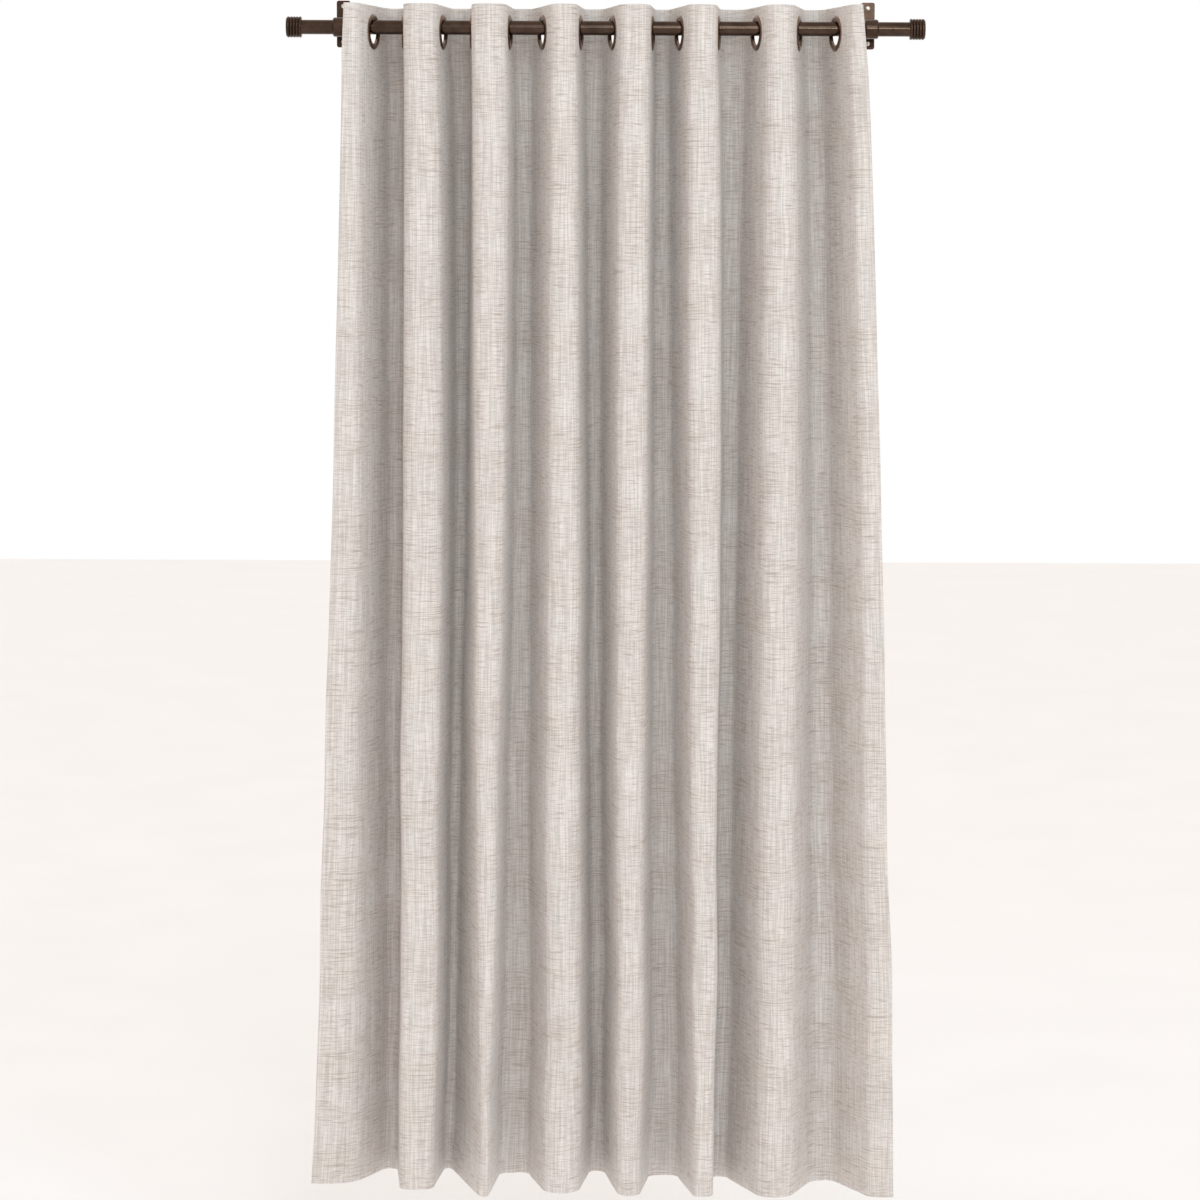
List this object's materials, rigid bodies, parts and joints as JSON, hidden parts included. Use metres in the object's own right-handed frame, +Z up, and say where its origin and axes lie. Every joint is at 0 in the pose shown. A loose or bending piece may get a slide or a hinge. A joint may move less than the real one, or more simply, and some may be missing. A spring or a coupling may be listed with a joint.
{
  "type": "eyelet curtain on rod",
  "caption": "Wide linen-look eyelet curtain hanging in deep even folds from a bronze rod with ribbed end caps and wall brackets; it draws along the rod.",
  "frame": {"origin": "middle of the four wall screws, on the wall's surface", "axes": "+X along the rod to the right as seen from the room, +Y into the wall, +Z up"},
  "size_m": [1.1304, 0.2053, 2.1488],
  "materials": {
    "curtain_cloth": "lined linen-look weave, light greige with tan slubs",
    "bronze_metal": "oil-rubbed bronze, satin, lighter on worn edges",
    "eyelet_metal": "bronze eyelets, satin",
    "screw_steel": "bright zinc-plated screws",
    "dark_steel": "black-oxide steel",
    "plug_plastic": "black moulded plastic"
  },
  "bodies": {
    "rod_and_brackets": {"rod_tube": "bronze_metal", "wall_screws": "screw_steel", "rod_plug_left": "plug_plastic", "finial_stud_left": "dark_steel", "finial_left": "bronze_metal", "wall_plate_left": "bronze_metal", "bracket_arm_left": "bronze_metal", "rod_collar_left": "bronze_metal", "collar_screw_left": "dark_steel", "rod_plug_right": "plug_plastic", "finial_stud_right": "dark_steel", "finial_right": "bronze_metal", "wall_plate_right": "bronze_metal", "bracket_arm_right": "bronze_metal", "rod_collar_right": "bronze_metal", "collar_screw_right": "dark_steel"},
    "eyelet_01": {"eyelet_front_01": "eyelet_metal", "eyelet_back_01": "eyelet_metal", "curtain_fold_01": "curtain_cloth"},
    "eyelet_02": {"eyelet_front_02": "eyelet_metal", "eyelet_back_02": "eyelet_metal", "curtain_fold_02": "curtain_cloth"},
    "eyelet_03": {"eyelet_front_03": "eyelet_metal", "eyelet_back_03": "eyelet_metal", "curtain_fold_03": "curtain_cloth"},
    "eyelet_04": {"eyelet_front_04": "eyelet_metal", "eyelet_back_04": "eyelet_metal", "curtain_fold_04": "curtain_cloth"},
    "eyelet_05": {"eyelet_front_05": "eyelet_metal", "eyelet_back_05": "eyelet_metal", "curtain_fold_05": "curtain_cloth"},
    "eyelet_06": {"eyelet_front_06": "eyelet_metal", "eyelet_back_06": "eyelet_metal", "curtain_fold_06": "curtain_cloth"},
    "eyelet_07": {"eyelet_front_07": "eyelet_metal", "eyelet_back_07": "eyelet_metal", "curtain_fold_07": "curtain_cloth"},
    "eyelet_08": {"eyelet_front_08": "eyelet_metal", "eyelet_back_08": "eyelet_metal", "curtain_fold_08": "curtain_cloth"},
    "eyelet_09": {"eyelet_front_09": "eyelet_metal", "eyelet_back_09": "eyelet_metal", "curtain_fold_09": "curtain_cloth"},
    "eyelet_10": {"eyelet_front_10": "eyelet_metal", "eyelet_back_10": "eyelet_metal", "curtain_fold_10": "curtain_cloth"},
    "eyelet_11": {"eyelet_front_11": "eyelet_metal", "eyelet_back_11": "eyelet_metal", "curtain_fold_11": "curtain_cloth"},
    "eyelet_12": {"eyelet_front_12": "eyelet_metal", "eyelet_back_12": "eyelet_metal", "curtain_fold_12": "curtain_cloth"},
    "eyelet_13": {"eyelet_front_13": "eyelet_metal", "eyelet_back_13": "eyelet_metal", "curtain_fold_13": "curtain_cloth"},
    "eyelet_14": {"eyelet_front_14": "eyelet_metal", "eyelet_back_14": "eyelet_metal", "curtain_fold_14": "curtain_cloth"}
  },
  "joints": [
    {"name": "eyelet_slide_01", "type": "slide", "parent": "rod_and_brackets", "child": "eyelet_01", "axis": [-1, 0, 0], "range_m": [0, 0.0287], "deforming": ["curtain_fold_01"]},
    {"name": "eyelet_slide_02", "type": "slide", "parent": "rod_and_brackets", "child": "eyelet_02", "axis": [-1, 0, 0], "range_m": [0, 0.0617], "deforming": ["curtain_fold_02"]},
    {"name": "eyelet_slide_03", "type": "slide", "parent": "rod_and_brackets", "child": "eyelet_03", "axis": [-1, 0, 0], "range_m": [0, 0.1025], "deforming": ["curtain_fold_03"]},
    {"name": "eyelet_slide_04", "type": "slide", "parent": "rod_and_brackets", "child": "eyelet_04", "axis": [-1, 0, 0], "range_m": [0, 0.134], "deforming": ["curtain_fold_04"]},
    {"name": "eyelet_slide_05", "type": "slide", "parent": "rod_and_brackets", "child": "eyelet_05", "axis": [-1, 0, 0], "range_m": [0, 0.1733], "deforming": ["curtain_fold_05"]},
    {"name": "eyelet_slide_06", "type": "slide", "parent": "rod_and_brackets", "child": "eyelet_06", "axis": [-1, 0, 0], "range_m": [0, 0.2093], "deforming": ["curtain_fold_06"]},
    {"name": "eyelet_slide_07", "type": "slide", "parent": "rod_and_brackets", "child": "eyelet_07", "axis": [-1, 0, 0], "range_m": [0, 0.2486], "deforming": ["curtain_fold_07"]},
    {"name": "eyelet_slide_08", "type": "slide", "parent": "rod_and_brackets", "child": "eyelet_08", "axis": [-1, 0, 0], "range_m": [0, 0.2837], "deforming": ["curtain_fold_08"]},
    {"name": "eyelet_slide_09", "type": "slide", "parent": "rod_and_brackets", "child": "eyelet_09", "axis": [-1, 0, 0], "range_m": [0, 0.3251], "deforming": ["curtain_fold_09"]},
    {"name": "eyelet_slide_10", "type": "slide", "parent": "rod_and_brackets", "child": "eyelet_10", "axis": [-1, 0, 0], "range_m": [0, 0.3551], "deforming": ["curtain_fold_10"]},
    {"name": "eyelet_slide_11", "type": "slide", "parent": "rod_and_brackets", "child": "eyelet_11", "axis": [-1, 0, 0], "range_m": [0, 0.3953], "deforming": ["curtain_fold_11"]},
    {"name": "eyelet_slide_12", "type": "slide", "parent": "rod_and_brackets", "child": "eyelet_12", "axis": [-1, 0, 0], "range_m": [0, 0.4367], "deforming": ["curtain_fold_12"]},
    {"name": "eyelet_slide_13", "type": "slide", "parent": "rod_and_brackets", "child": "eyelet_13", "axis": [-1, 0, 0], "range_m": [0, 0.4808], "deforming": ["curtain_fold_13"]},
    {"name": "draw", "type": "slide", "parent": "rod_and_brackets", "child": "eyelet_14", "axis": [-1, 0, 0], "range_m": [0, 0.5197], "deforming": ["curtain_fold_14"]}
  ],
  "couplings": [
    {"joint": "eyelet_slide_01", "follows": "draw", "ratio": 0.053391},
    {"joint": "eyelet_slide_02", "follows": "draw", "ratio": 0.11688},
    {"joint": "eyelet_slide_03", "follows": "draw", "ratio": 0.19538},
    {"joint": "eyelet_slide_04", "follows": "draw", "ratio": 0.25599},
    {"joint": "eyelet_slide_05", "follows": "draw", "ratio": 0.3316},
    {"joint": "eyelet_slide_06", "follows": "draw", "ratio": 0.40087},
    {"joint": "eyelet_slide_07", "follows": "draw", "ratio": 0.47648},
    {"joint": "eyelet_slide_08", "follows": "draw", "ratio": 0.54401},
    {"joint": "eyelet_slide_09", "follows": "draw", "ratio": 0.62367},
    {"joint": "eyelet_slide_10", "follows": "draw", "ratio": 0.68139},
    {"joint": "eyelet_slide_11", "follows": "draw", "ratio": 0.75873},
    {"joint": "eyelet_slide_12", "follows": "draw", "ratio": 0.83838},
    {"joint": "eyelet_slide_13", "follows": "draw", "ratio": 0.92323}
  ]
}
